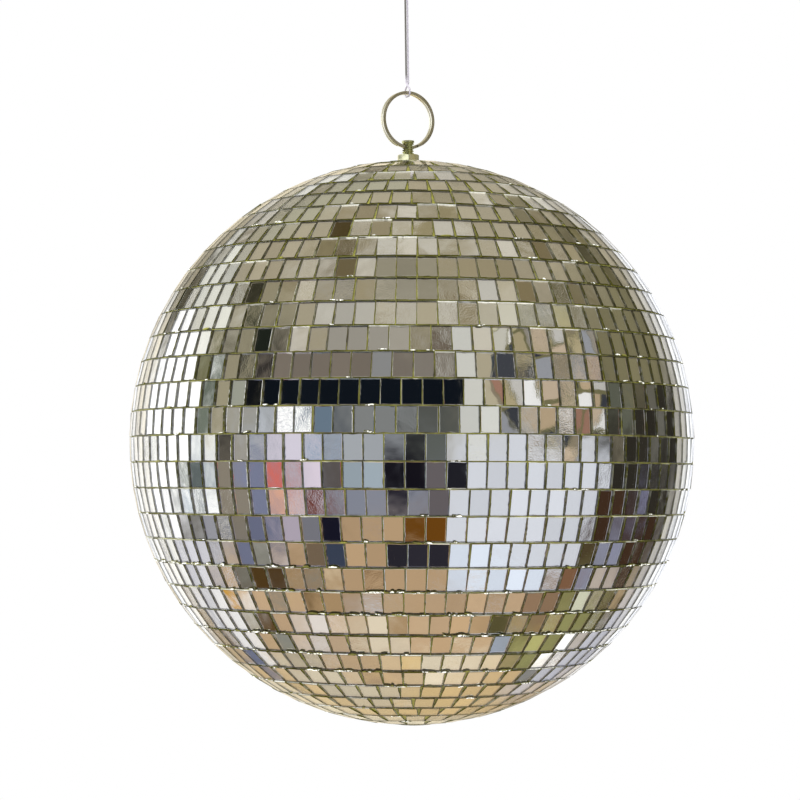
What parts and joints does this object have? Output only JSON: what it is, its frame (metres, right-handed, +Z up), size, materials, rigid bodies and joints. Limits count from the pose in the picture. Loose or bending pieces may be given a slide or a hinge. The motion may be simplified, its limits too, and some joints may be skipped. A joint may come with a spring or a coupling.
{
  "type": "mirror ball",
  "caption": "Hanging mirror ball: rows of flat mirror tiles on a hollow two-part core, with a threaded stud, nut, split ring and a doubled clear line tied in an eye loop.",
  "frame": {"origin": "the hang point: the inside top of the line's eye loop, where a hook or motor pin carries the ball", "axes": "+Z up along the hanging line; the split ring lies in the XZ plane and the stud's cross hole runs along X; the pictured side faces -Y, turned 28 degrees towards -X"},
  "size_m": [0.3, 0.3, 0.421],
  "materials": {
    "nylon_line": "clear nylon monofilament, glossy",
    "pale_brass": "pale brass-plated spring wire, bright",
    "yellow_zinc": "yellow zinc-plated steel, satin",
    "plain_steel": "plain zinc-plated steel, satin",
    "core_plastic": "moulded black plastic, matt",
    "joint_glue": "dried solvent glue",
    "olive_adhesive": "olive-yellow adhesive coat, satin",
    "mirror_tile": "champagne-tinted glass mirror with clear cut edges"
  },
  "bodies": {
    "hanger": {"line_eye_loop": "nylon_line", "line_knot": "nylon_line", "line_strand_left": "nylon_line", "line_strand_right": "nylon_line"},
    "bight": {"line_bight": "nylon_line"},
    "ring": {"split_ring": "pale_brass"},
    "ball": {"threaded_stud": "yellow_zinc", "top_nut": "yellow_zinc", "top_washer": "yellow_zinc", "core_upper_half": "core_plastic", "core_lower_half": "core_plastic", "core_joint_glue": "joint_glue", "adhesive_coat": "olive_adhesive", "spreader_plate": "plain_steel", "lock_washer": "plain_steel", "inner_nut": "yellow_zinc", "closing_mirror_disc": "mirror_tile", "tile_row_01": "mirror_tile", "tile_row_02": "mirror_tile", "tile_row_03": "mirror_tile", "tile_row_04": "mirror_tile", "tile_row_05": "mirror_tile", "tile_row_06": "mirror_tile", "tile_row_07": "mirror_tile", "tile_row_08": "mirror_tile", "tile_row_09": "mirror_tile", "tile_row_10": "mirror_tile", "tile_row_11": "mirror_tile", "tile_row_12": "mirror_tile", "tile_row_13": "mirror_tile", "tile_row_14": "mirror_tile", "tile_row_15": "mirror_tile", "tile_row_16": "mirror_tile", "tile_row_17": "mirror_tile", "tile_row_18": "mirror_tile", "tile_row_19": "mirror_tile", "tile_row_20": "mirror_tile", "tile_row_21": "mirror_tile", "tile_row_22": "mirror_tile", "tile_row_23": "mirror_tile", "tile_row_24": "mirror_tile", "tile_row_25": "mirror_tile", "tile_row_26": "mirror_tile", "tile_row_27": "mirror_tile", "tile_row_28": "mirror_tile", "tile_row_29": "mirror_tile", "tile_row_30": "mirror_tile", "tile_row_31": "mirror_tile", "tile_row_32": "mirror_tile", "tile_row_33": "mirror_tile", "tile_row_34": "mirror_tile"}
  },
  "joints": [
    {"name": "ball_spin", "type": "hinge", "parent": "hanger", "child": "bight", "pos_m": [0, 0, -0.07635], "axis": [0, 0, 1], "continuous": true},
    {"name": "ring_turn", "type": "hinge", "parent": "bight", "child": "ring", "pos_m": [0, 0, -0.0971], "axis": [0, 1, 0], "range_deg": [-90, 90]},
    {"name": "ball_swing", "type": "hinge", "parent": "ring", "child": "ball", "pos_m": [0, 0, -0.11185], "axis": [1, 0, 0], "range_deg": [-100, 100]}
  ]
}
